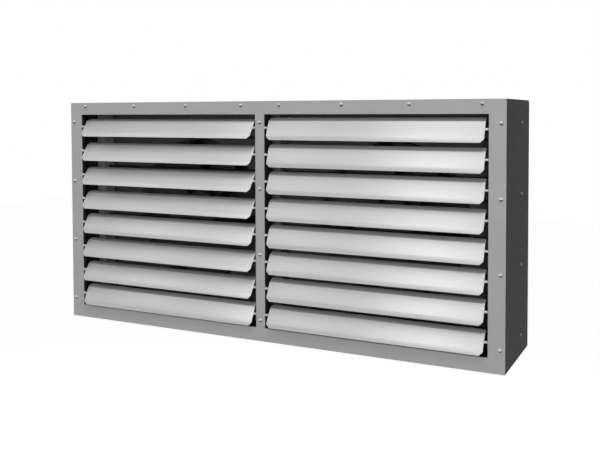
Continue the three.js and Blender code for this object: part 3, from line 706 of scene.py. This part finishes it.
def model_blade(sizes):
    """One blade about its pivot axis, upright."""
    half = sizes.length / 2
    lip_corner, cut_edge = 1.2 * MM, 0.3 * MM
    lip = Vector((0, -math.sin(sizes.lip_angle), math.cos(sizes.lip_angle))) * sizes.lip_length
    fold = Vector((0, -sizes.face_offset, -sizes.lower_flat))
    piece = added(bpy.ops.mesh.primitive_plane_add, "blade_pattern", size=1)
    edit(piece)
    select_everything()
    bpy.ops.transform.resize(value=(sizes.length, sizes.lip_length, 1))
    leave_edit()
    upright = turned("X", 90 + math.degrees(sizes.lip_angle))
    piece.data.transform(Matrix.Translation(fold - lip / 2) @ upright)
    edit(piece)
    pick(piece, "EDGE", lambda e: all(abs(v.co.z - fold.z) < TOUCH for v in e.verts))
    rise = sizes.lower_flat + sizes.upper_flat
    for share in (0.55, 0.45):
        extrude((0, 0, rise * share))
    steps = 6
    for step in range(steps):
        turn = sizes.curl_angle * (step + 0.5) / steps
        chord = 2 * sizes.curl_radius * math.sin(sizes.curl_angle / steps / 2)
        extrude((0, chord * math.sin(turn), chord * math.cos(turn)))
    end = Vector((0, math.sin(sizes.curl_angle), math.cos(sizes.curl_angle)))
    extrude(end * sizes.curl_length)
    top = max(v.co.z for v in bmesh.from_edit_mesh(piece.data).verts)
    foot = min(v.co.z for v in bmesh.from_edit_mesh(piece.data).verts)
    pick(piece, "VERT", lambda v: abs(abs(v.co.x) - half) < TOUCH and v.co.z > top - TOUCH)
    bpy.ops.mesh.bevel(offset=sizes.corner_radius, segments=5, affect="VERTICES")
    pick(piece, "VERT", lambda v: abs(abs(v.co.x) - half) < TOUCH and v.co.z < foot + TOUCH)
    bpy.ops.mesh.bevel(offset=sizes.corner_chamfer, segments=1, affect="VERTICES")
    pick(
        piece,
        "VERT",
        lambda v: v.co.z < foot + sizes.lip_length
        and half - sizes.corner_chamfer - NEAR < abs(v.co.x)
        and not (abs(abs(v.co.x) - half) < TOUCH and abs(v.co.z - fold.z) < TOUCH),
    )
    bpy.ops.mesh.bevel(offset=lip_corner, segments=3, affect="VERTICES")
    leave_edit()
    shape(piece, "SOLIDIFY", thickness=sizes.sheet, offset=0, use_even_offset=True)
    break_edges(piece, cut_edge)
    outward(piece)
    stubs = [model_stub(sizes, side) for side in (-1, 1)]
    blade = join([piece, *stubs], "blade_pattern")
    smooth(blade)
    return blade


def model_stub(sizes, side):
    """Pivot stub, waisted between the blade's end and the frame, with its journal."""
    half = sizes.length / 2
    root_middle = (half - sizes.root_length / 2, 0, 0)
    piece = rod("stub", 20, sizes.root_radius, sizes.root_length, root_middle, ALONG_X)
    edit(piece)
    pick(piece, "FACE", lambda f: f.normal.x > 0.9)
    gap = sizes.stub_reach - half
    neck = sizes.stub_radius
    swell = neck + 0.4 * (sizes.stub_flare - neck)
    wide = sizes.root_radius
    for run, radius in ((0, sizes.stub_flare), (0.1, swell), (0.15, neck), (0.5, neck),
                        (0.15, swell), (0.1, sizes.stub_flare)):
        extrude((gap * run, 0, 0))
        centre = middle(next(f for f in bmesh.from_edit_mesh(piece.data).faces if f.select))
        bpy.ops.transform.resize(value=(1, radius / wide, radius / wide), center_override=centre)
        wide = radius
    bpy.ops.mesh.inset(thickness=sizes.stub_flare - sizes.journal_radius)
    extrude((sizes.journal_reach - sizes.stub_reach, 0, 0))
    leave_edit()
    if side < 0:
        piece.data.transform(turned("Z", 180))
    return piece


class HEATER_OT_louvres(Operator):
    """Folds one louvre blade and hangs a copy on each pivot at its set angle"""

    bl_idname = "heater.louvres"
    bl_label = "Louvre blades"

    def execute(self, context):
        pattern = model_blade(context.scene.heater_louvre)
        for child, joint in JOINTS.items():
            if not child.startswith("louvre_"):
                continue
            lean = joint["range_deg"][0]
            place = Matrix.Translation(joint["pos_m"]) @ turned("X", lean)
            blade = copy_to(pattern, child.replace("louvre", "blade"), place)
            dress(blade, "blade_aluminium", child, child)
        bpy.data.objects.remove(pattern)
        return {"FINISHED"}


def model_screw(sizes):
    """Pan head screw with a cross recess, head up, seated on Z 0."""
    recess_span, recess_height = 1.1 * sizes.head_radius, 2.4 * MM
    ball = (sizes.head_radius**2 + sizes.dome_height**2) / (2 * sizes.dome_height)
    crown = sizes.rim_height + sizes.dome_height
    screw = added(
        bpy.ops.mesh.primitive_uv_sphere_add,
        "screw_pattern",
        segments=24,
        ring_count=48,
        radius=ball,
        location=(0, 0, crown - ball),
    )
    edit(screw)
    select_everything()
    bpy.ops.mesh.bisect(
        plane_co=(0, 0, sizes.rim_height), plane_no=(0, 0, 1), use_fill=True, clear_inner=True
    )
    pick(screw, "FACE", lambda f: f.normal.z < -0.9)
    extrude((0, 0, -sizes.rim_height))
    bpy.ops.mesh.inset(thickness=sizes.head_radius - sizes.shank_radius)
    extrude((0, 0, -sizes.shank_length))
    leave_edit()
    slots = [
        added(
            bpy.ops.mesh.primitive_cube_add,
            "slot",
            size=1,
            location=(0, 0, crown),
            rotation=(0, 0, turn),
            scale=(recess_span, sizes.recess_width, recess_height),
        )
        for turn in (0, math.pi / 2)
    ]
    carve(slots[0], slots[1], "UNION")
    carve(screw, slots[0])
    outward(screw)
    smooth(screw, 35)
    return screw


def screw_places(sizes):
    """Name, seat, direction of the head and the CAD node that it stands for."""
    seat = FRONT_FACE - SEAT_GAP
    for name in frame["nodes"]:
        if name.startswith("frame_screw_"):
            low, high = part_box(name)
            place = ((low.x + high.x) / 2, seat, (low.z + high.z) / 2)
            yield name.replace("frame_screw", "screw"), place, "front", name
    rail = CASING_HIGH.z - sizes.rail_drop
    for i in range(sizes.rail_half_count):
        x = sizes.rail_first + i * sizes.rail_step
        yield f"screw_rail_left_{i + 1}", (-x, seat, rail), "front", None
        yield f"screw_rail_right_{i + 1}", (x, seat, rail), "front", None
    depth = FRONT_FACE + sizes.side_setback
    for i in range(sizes.side_count):
        z = CASING_HIGH.z - sizes.side_first - i * sizes.side_step
        yield f"screw_side_left_{i + 1}", (CASING_LOW.x, depth, z), "left", None
        yield f"screw_side_right_{i + 1}", (CASING_HIGH.x, depth, z), "right", None


class HEATER_OT_screws(Operator):
    """Turns one pan head screw and sets a copy in each place"""

    bl_idname = "heater.screws"
    bl_label = "Screws"

    def execute(self, context):
        sizes = context.scene.heater_screw
        pattern = model_screw(sizes)
        facing = {"front": turned("X", 90), "left": turned("Y", -90), "right": turned("Y", 90)}
        for i, (name, place, side, node) in enumerate(screw_places(sizes)):
            # The side panel screws take the darker copy of the plating as painted shade.
            finish = "screw_steel" if side == "front" else "side_screw"
            spin = turned("Z", SPIN_STEP * i % 90)
            screw = copy_to(pattern, name, Matrix.Translation(place) @ facing[side] @ spin)
            dress(screw, "screw_steel", "casing", *([node] if node else []), finish=finish)
        bpy.data.objects.remove(pattern)
        return {"FINISHED"}


def model_element(sizes, low, high):
    """Hairpin between a node's low and high corners, studs included."""
    y = (low.y + high.y) / 2
    z = (low.z + high.z) / 2
    leg_end = high.x - sizes.stud_length
    bend = low.x + sizes.radius + sizes.bend_radius
    piece = added(
        bpy.ops.mesh.primitive_circle_add,
        "element_pattern",
        vertices=16,
        radius=sizes.radius,
        location=(leg_end, y, z + sizes.bend_radius),
        rotation=ALONG_X,
    )
    edit(piece)
    select_everything()
    extrude((bend - leg_end, 0, 0))
    bpy.ops.mesh.spin(steps=20, angle=math.pi, center=(bend, y, z), axis=(0, 1, 0))
    extrude((leg_end - bend, 0, 0))
    pick(piece, "EDGE", lambda e: e.is_boundary)
    bpy.ops.mesh.edge_face_add()
    pick(piece, "FACE", lambda f: len(f.verts) > 8)
    bpy.ops.mesh.inset(thickness=sizes.radius - sizes.stud_radius, use_individual=True)
    extrude((sizes.stud_length, 0, 0))
    leave_edit()
    outward(piece)
    smooth(piece)
    return piece


class HEATER_OT_elements(Operator):
    """Bends one hairpin element and sets a copy in each row of the racks"""

    bl_idname = "heater.elements"
    bl_label = "Heating elements"

    def execute(self, context):
        nodes = sorted(n for n in frame["nodes"] if n.startswith("heating_element_"))
        low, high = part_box(nodes[0])
        pattern = model_element(context.scene.heater_element, low, high)
        for node in nodes:
            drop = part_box(node)[0].z - low.z
            place = Matrix.Translation((0, 0, drop))
            element = copy_to(pattern, node.replace("heating_element", "hairpin"), place)
            dress(element, "element_sheath", "casing", node)
        bpy.data.objects.remove(pattern)
        return {"FINISHED"}


def fan_axis(node):
    """Middle of a round node in X and Z."""
    low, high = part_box(node)
    return Matrix.Translation(((low.x + high.x) / 2, 0, (low.z + high.z) / 2))


def model_hub(sizes, nose, tail):
    """Pressed hub cup that is open to the rear, with a boss round its bore."""
    inner = sizes.hub_radius - sizes.hub_wall
    bend = sizes.hub_nose - sizes.hub_wall
    boss_end = nose + sizes.boss_length
    outline = [(sizes.bore_radius, nose)]
    outline += rounded((sizes.hub_radius - sizes.hub_nose, nose + sizes.hub_nose), sizes.hub_nose, -90, 0)
    outline += [(sizes.hub_radius, tail), (inner, tail)]
    outline += rounded((inner - bend, nose + sizes.hub_wall + bend), bend, 0, -90)
    outline += rounded((sizes.boss_radius + bend, nose + sizes.hub_wall + bend), bend, -90, -180)
    outline += rounded((sizes.boss_radius - MM, boss_end - MM), MM, 0, 90, 3)
    outline += [(sizes.bore_radius, boss_end)]
    return revolved("hub", outline, 64)


def model_fan_blade(sizes, nose):
    """Swept radial edge, screwed about the Y axis into a twisted sheet metal blade."""
    rolled_edge = 0.5 * MM
    root = sizes.hub_radius - sizes.hub_wall / 2
    span = sizes.tip_radius - root
    piece = added(
        bpy.ops.mesh.primitive_plane_add,
        "fan_blade",
        size=span,
        location=(root + span / 2, span / 2, 0),
    )
    edit(piece)
    pick(piece, "VERT", lambda v: v.co.y > span / 2)
    bpy.ops.mesh.delete(type="VERT")
    select_everything()
    bpy.ops.mesh.subdivide(number_cuts=9)
    leave_edit()
    stations = sorted({round(v.co.x, 6) for v in piece.data.vertices})
    edit(piece)
    for radius in stations:
        pick(piece, "VERT", lambda v: abs(v.co.x - radius) < NEAR and abs(v.co.z) < TOUCH)
        turn = sizes.blade_sweep * (radius - root) / span
        spin_about_fan(turn)
    leave_edit()
    start = turned("Y", math.degrees(sizes.blade_width) / 2)
    piece.data.transform(Matrix.Translation((0, nose + sizes.blade_setback, 0)) @ start)
    shape(
        piece,
        "SCREW",
        axis="Y",
        angle=-sizes.blade_width,
        screw_offset=sizes.blade_depth,
        steps=14,
        render_steps=14,
    )
    shape(piece, "SOLIDIFY", thickness=sizes.blade_sheet, offset=0, use_even_offset=True)
    outward(piece)
    break_edges(piece, rolled_edge)
    return piece


def spin_about_fan(turn):
    """Turns the selection about the Y axis, from +X towards +Z."""
    bpy.ops.transform.rotate(value=turn, orient_axis="Y", orient_type="GLOBAL", center_override=(0, 0, 0))


def model_impeller(sizes, nose, tail):
    """Hub with its blades."""
    blades = ring_of(model_fan_blade(sizes, nose), sizes.blade_count)
    impeller = join([model_hub(sizes, nose, tail), *blades], "impeller_pattern")
    smooth(impeller)
    return impeller


def model_motor(sizes, low, high, flange_radius, body_radius, body_front, body_rear):
    """Ribbed external rotor motor with its shaft, low and high along the Y axis."""
    ribs = sizes.motor_ribs
    shaft_edge, shoulder, groove_edge = 0.5 * MM, 3 * MM, 0.4 * MM
    rib_share, groove_share = 0.15, 0.35
    pitch = (body_rear - body_front) / (ribs + 1)
    deep = body_radius - sizes.motor_rib_depth
    shaft = sizes.bore_radius - SEAT_GAP
    outline = [(0, low), (shaft - shaft_edge, low), (shaft, low + shaft_edge), (shaft, body_front)]
    outline += rounded((body_radius - shoulder, body_front + shoulder), shoulder, -90, 0, 4)
    for i in range(1, ribs + 1):
        y = body_front + pitch * (i + rib_share)
        groove = pitch * groove_share
        if y + groove > body_rear - MM:
            break
        outline += [(body_radius, y), (deep, y + groove_edge)]
        outline += [(deep, y + groove - groove_edge), (body_radius, y + groove)]
    outline += [(body_radius, body_rear - MM), (body_radius - MM, body_rear)]
    outline += [(flange_radius, body_rear), (flange_radius, high), (0, high)]
    return revolved("motor_pattern", outline, 64)


def model_guard(sizes, front, rear, outer):
    """Welded wire guard with a dished middle plate."""
    middle_y = (front + rear) / 2
    wire = sizes.guard_wire / 2
    rings = []
    for i in range(1, sizes.guard_rings + 1):
        radius = sizes.guard_plate + (outer - sizes.guard_plate) * i / sizes.guard_rings - wire
        rings.append(
            added(
                bpy.ops.mesh.primitive_torus_add,
                f"guard_ring_{i}",
                major_radius=radius,
                minor_radius=wire,
                major_segments=72,
                minor_segments=10,
                location=(0, middle_y, 0),
                rotation=ALONG_Y,
            )
        )
    length = outer - sizes.guard_plate
    spoke_middle = (sizes.guard_plate - wire + length / 2, middle_y, 0)
    spoke = rod("guard_spoke", 10, wire, length, spoke_middle, ALONG_X)
    edit(spoke)
    pick(spoke, "FACE", lambda f: abs(f.normal.x) > 0.9)
    bpy.ops.mesh.bevel(offset=wire / 3, segments=2)
    leave_edit()
    spokes = ring_of(spoke, sizes.guard_spokes)
    rim, edge, land, slope, dish = sizes.guard_plate, 0.6 * MM, 6 * MM, 9 * MM, 1.5 * MM
    outline = [(0, front), (rim - edge, front), (rim, front + edge)]
    outline += [(rim, rear - edge), (rim - edge, rear), (rim - land, rear)]
    outline += [(rim - slope, rear - dish), (0, rear - dish)]
    guard = join([revolved("guard_pattern", outline, 48), *spokes, *rings], "guard_pattern")
    smooth(guard, 40)
    return guard


class HEATER_OT_fans(Operator):
    """Presses an impeller, turns a motor and welds a guard, and sets a copy of each in both fans"""

    bl_idname = "heater.fans"
    bl_label = "Fans"

    def execute(self, context):
        sizes = context.scene.heater_fan
        low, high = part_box("fan_impeller_left")
        impeller = model_impeller(sizes, low.y, high.y)
        guard_low, guard_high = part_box("fan_guard_left")
        outer = (guard_high.x - guard_low.x) / 2
        guard = model_guard(sizes, guard_low.y, guard_high.y, outer)
        motor_low, motor_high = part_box("fan_motor_left")
        radius = (motor_high.x - motor_low.x) / 2
        body_rear, body_length, flange_step = high.y - SEAT_GAP, 26 * MM, 3 * MM
        motor = model_motor(
            sizes, motor_low.y, motor_high.y, radius - flange_step, radius, body_rear - body_length, body_rear
        )
        smooth(motor)
        for side in ("left", "right"):
            place = fan_axis(f"fan_guard_{side}")
            turning = copy_to(impeller, f"impeller_{side}", place)
            node = f"fan_impeller_{side}"
            dress(turning, "fan_steel", node, node)
            cage = copy_to(guard, f"wire_guard_{side}", place)
            dress(cage, "fan_steel", "casing", f"fan_guard_{side}")
            engine = copy_to(motor, f"motor_{side}", place)
            dress(engine, "motor_casting", "casing", f"fan_motor_{side}")
        for pattern in (impeller, guard, motor):
            bpy.data.objects.remove(pattern)
        return {"FINISHED"}


def model_gland(sizes, inner, seat):
    """Threaded gland body, hexagonal collar and ribbed cap nut, on the Y axis."""
    collar_end = seat + sizes.collar_length
    collar_middle = (0, (seat + collar_end) / 2, 0)
    outer = collar_end + sizes.nut_length
    bore, bore_edge, thread_share = sizes.bore_radius, 1.5 * MM, 0.6
    rib_depth, rib_width, rib_edge, rib_gap = 2 * MM, 1.6 * MM, 0.6 * MM, 0.4 * MM
    collar_edge, collar_crown, clearance = 1.2 * MM, 1.6 * MM, 0.1 * MM
    root = sizes.thread_radius - thread_share * sizes.thread_pitch
    outline = [(bore, inner), (root, inner)]
    turns = int((seat - inner) / sizes.thread_pitch)
    for i in range(turns):
        y = inner + (i + 0.5) * sizes.thread_pitch
        outline += [(sizes.thread_radius, y), (root, y + sizes.thread_pitch / 2)]
    step = sizes.nut_radius - sizes.mouth_radius
    outline += [(root, collar_end), (sizes.nut_radius - MM, collar_end)]
    outline += [(sizes.nut_radius - MM, outer - step)]
    outline += rounded((sizes.mouth_radius - MM, outer - step), step, 0, 90, 6)
    outline += [(bore + bore_edge, outer), (bore, outer - bore_edge)]
    body = revolved("gland_pattern", outline, 48)
    rib = added(
        bpy.ops.mesh.primitive_cube_add,
        "rib",
        size=1,
        location=(sizes.nut_radius - MM, (collar_end + outer - step) / 2, 0),
        scale=(rib_depth, outer - step - collar_end - rib_gap, rib_width),
    )
    shape(rib, "BEVEL", width=rib_edge, segments=2)
    ribs = ring_of(rib, sizes.nut_ribs)
    collar = rod("collar", 6, sizes.collar_radius, sizes.collar_length, collar_middle, ALONG_Y)
    edit(collar)
    pick(collar, "FACE", lambda f: abs(f.normal.y) > 0.9)
    bpy.ops.mesh.inset(thickness=collar_edge, use_individual=True)
    swell = 1 + collar_crown / sizes.collar_length
    bpy.ops.transform.resize(value=(1, swell, 1), center_override=collar_middle)
    leave_edit()
    bore_tool = rod("bore", 48, root - clearance, 4 * sizes.collar_length, collar_middle, ALONG_Y)
    carve(collar, bore_tool)
    gland = join([body, collar, *ribs], "gland_pattern")
    smooth(gland)
    return gland


class HEATER_OT_gland(Operator):
    """Turns the cable gland with its thread, collar and cap nut"""

    bl_idname = "heater.gland"
    bl_label = "Cable gland"

    def execute(self, context):
        sizes = context.scene.heater_gland
        low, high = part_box("cable_gland")
        seat = high.y - sizes.nut_length - sizes.collar_length
        gland = model_gland(sizes, low.y, seat)
        gland.data.transform(fan_axis("cable_gland"))
        gland.name = gland.data.name = "gland"
        dress(gland, "black_plastic", "casing", "cable_gland")
        return {"FINISHED"}


# ---- stage


def stage_light_paths(tree):
    """1 for what the camera, mirrors and glass see, 0 for other light."""
    path = tree.nodes.new("ShaderNodeLightPath")
    seen = path.outputs["Is Camera Ray"]
    for name in ("Is Glossy Ray", "Is Transmission Ray"):
        larger = wired(tree, "ShaderNodeMath", {0: seen, 1: path.outputs[name]})
        larger.operation = "MAXIMUM"
        seen = larger.outputs[0]
    return seen


def white_world(strength):
    """Plain light from all round that looks white where it is seen."""
    world = bpy.data.worlds.new("studio_white")
    world.use_nodes = True
    tree = world.node_tree
    tree.nodes.clear()
    white = (1, 1, 1, 1)
    light = wired(tree, "ShaderNodeBackground", {"Color": white, "Strength": strength})
    surround = wired(tree, "ShaderNodeBackground", {"Color": white})
    shares = {"Fac": stage_light_paths(tree), 1: light.outputs[0], 2: surround.outputs[0]}
    mix = wired(tree, "ShaderNodeMixShader", shares)
    wired(tree, "ShaderNodeOutputWorld", {"Surface": mix.outputs[0]})
    return world


def floor_finish():
    """Pale floor that the camera sees as white, but for the heater's shadow."""
    finish, tree, shader, place = new_finish("pale_floor")
    pale = toned(tree, noise(tree, place, 0.8), (0.82, 0.82, 0.82), 0.98, 1.02)
    tree.links.new(pale, shader.inputs["Base Color"])
    shader.inputs["Roughness"].default_value = 0.9
    seen = ranged(tree, stage_light_paths(tree), 0, 1, 0, 0.9)
    glow = wired(tree, "ShaderNodeEmission", {"Strength": seen})
    layers = {0: shader.outputs["BSDF"], 1: glow.outputs["Emission"]}
    both = wired(tree, "ShaderNodeAddShader", layers)
    tree.links.new(both.outputs["Shader"], node_of(tree, "OUTPUT_MATERIAL").inputs["Surface"])
    return finish


def hang_light(name, place, power, size):
    """Square soft light aimed at the middle of the front."""
    aim = Vector((0, FRONT_FACE, (CASING_LOW.z + CASING_HIGH.z) / 2)) - Vector(place)
    turn = aim.to_track_quat("-Z", "Y").to_euler()
    bpy.ops.object.light_add(type="AREA", location=place, rotation=turn)
    light = bpy.context.active_object
    light.name = name
    light.data.energy = power
    light.data.size = size
    light.visible_camera = False


class HEATER_OT_stage(Operator):
    """Sets up the camera, the lights, the white surround and the floor"""

    bl_idname = "heater.stage"
    bl_label = "Stage"

    def execute(self, context):
        stage = context.scene.heater_stage
        clear_bench()
        bpy.ops.object.camera_add(location=stage.camera_place, rotation=stage.camera_turn)
        camera = context.active_object
        camera.data.lens = stage.camera_lens
        camera.data.sensor_width = SENSOR_WIDTH
        camera.data.shift_x, camera.data.shift_y = stage.camera_shift
        context.scene.camera = camera
        for name in LIGHTS:
            place, power, size = (getattr(stage, f"{name}_{kind}") for kind in ("place", "power", "size"))
            hang_light(f"{name}_light", place, power, size)
        floor = added(
            bpy.ops.mesh.primitive_plane_add,
            "floor",
            size=FLOOR_SIZE,
            location=(0, 0, CASING_HIGH.z - stage.floor_drop),
        )
        floor.data.materials.append(floor_finish())
        context.scene.world = white_world(stage.fill_strength)
        context.scene.view_settings.view_transform = "Standard"
        return {"FINISHED"}


# ---- add-on


OPERATORS = (
    HEATER_OT_casing_finish,
    HEATER_OT_sheet_edges,
    HEATER_OT_louvres,
    HEATER_OT_screws,
    HEATER_OT_elements,
    HEATER_OT_fans,
    HEATER_OT_gland,
    HEATER_OT_stage,
)


class HEATER_PT_panel(Panel):
    """Pieces of the fan heater"""

    bl_idname = "HEATER_PT_panel"
    bl_label = "Fan Heater"
    bl_space_type = "VIEW_3D"
    bl_region_type = "UI"
    bl_category = "Fan Heater"

    def draw(self, context):
        for operator in OPERATORS:
            self.layout.operator(operator.bl_idname)
        for name, group in SETTINGS.items():
            box = self.layout.box()
            for prop in group.__annotations__:
                box.prop(getattr(context.scene, name), prop)


def register():
    for group in (*SETTINGS.values(), *OPERATORS, HEATER_PT_panel):
        bpy.utils.register_class(group)
    for name, group in SETTINGS.items():
        setattr(bpy.types.Scene, name, PointerProperty(type=group))


def unregister():
    for name in SETTINGS:
        delattr(bpy.types.Scene, name)
    for group in (HEATER_PT_panel, *reversed(OPERATORS), *reversed(SETTINGS.values())):
        bpy.utils.unregister_class(group)


def main():
    register()
    for operator in OPERATORS:
        family, name = operator.bl_idname.split(".")
        if getattr(getattr(bpy.ops, family), name)() != {"FINISHED"}:
            raise RuntimeError(f"{operator.bl_label} wasn't finished")


if __name__ == "__main__":
    main()
